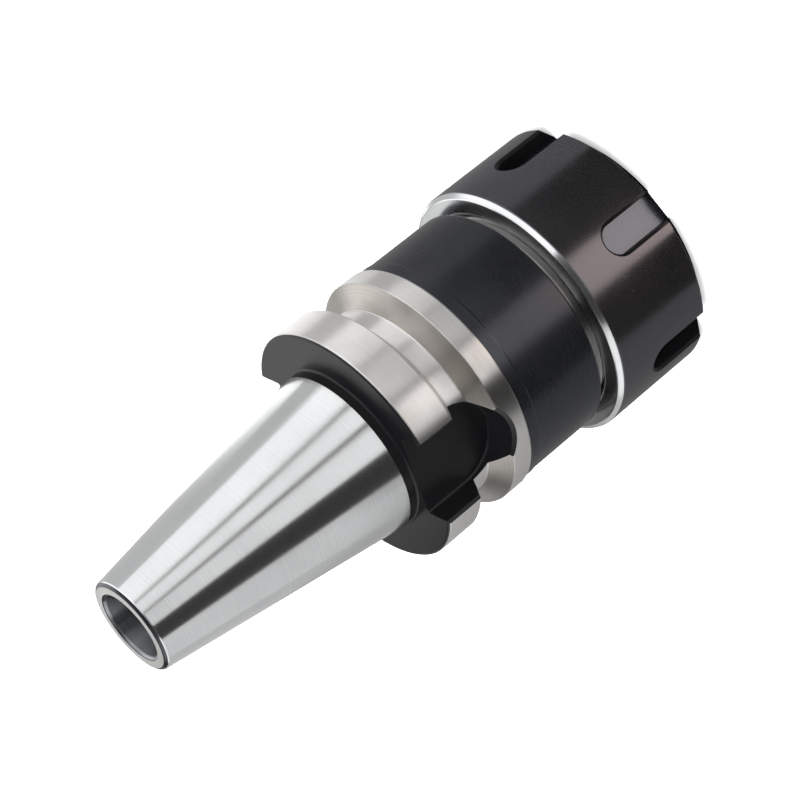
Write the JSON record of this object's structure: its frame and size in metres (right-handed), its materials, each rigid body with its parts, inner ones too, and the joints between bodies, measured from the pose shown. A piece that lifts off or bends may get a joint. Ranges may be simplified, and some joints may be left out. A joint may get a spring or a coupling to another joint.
{
  "type": "collet chuck holder",
  "caption": "Machine tool holder with a steep taper shank, gripper flange, slit spring collet and slotted clamping nut that grips a round tool shank.",
  "frame": {"origin": "centre of the gauge plane, where the steep taper measures 31.75 mm across", "axes": "+Z along the taper towards its small end, +X through the middle of one drive slot"},
  "size_m": [0.05, 0.05, 0.1142],
  "materials": {
    "holder_steel": "ground taper and turned flange in bare hardened steel, the rest of the body black oxide",
    "collet_steel": "ground spring steel",
    "nut_steel": "black oxide on turned steel, with a bare chamfer and back face"
  },
  "bodies": {
    "collet": {"collet": "collet_steel"},
    "holder": {"holder_body": "holder_steel"},
    "nut": {"clamping_nut": "nut_steel"}
  },
  "joints": [
    {"name": "holder_slide", "type": "slide", "parent": "collet", "child": "holder", "axis": [0, 0, 1], "range_m": [0, 0.01125]},
    {"name": "nut_turn", "type": "hinge", "parent": "collet", "child": "nut", "pos_m": [0, 0, -0.054], "axis": [0, 0, -1], "range_deg": [0, 2700]}
  ],
  "couplings": [
    {"joint": "nut_turn", "follows": "holder_slide", "rad_per_m": 4188.8}
  ]
}
